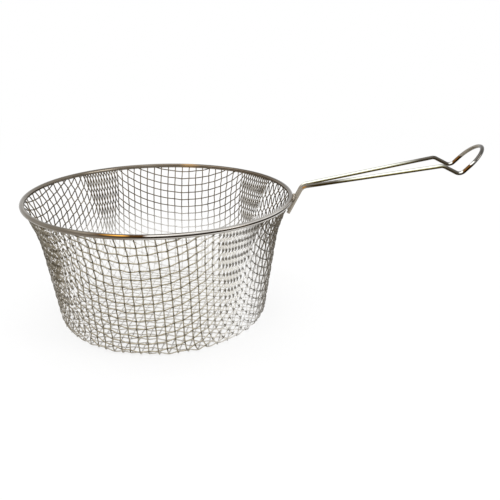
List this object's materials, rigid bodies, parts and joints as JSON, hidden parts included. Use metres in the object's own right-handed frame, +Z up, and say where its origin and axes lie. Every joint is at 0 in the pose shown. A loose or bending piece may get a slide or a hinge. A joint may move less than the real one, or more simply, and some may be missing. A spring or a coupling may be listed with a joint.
{
  "type": "chip basket",
  "caption": "Round frying basket: a flared bowl drawn from woven wire mesh, with a round wire rim and a raised two-leg wire handle that ends in a hanging loop.",
  "frame": {"origin": "middle of the base, on the plane that the basket stands on", "axes": "+Z up, +X along the handle, and the basket is the same on both sides of the XZ plane"},
  "size_m": [0.3319, 0.2, 0.1353],
  "materials": {
    "mesh_steel": "dull tinned wire",
    "rim_steel": "bright plated wire",
    "handle_steel": "bright plated wire"
  },
  "bodies": {
    "root": {"mesh_bowl": "mesh_steel", "rim_ring": "rim_steel", "handle": "handle_steel"}
  },
  "joints": []
}
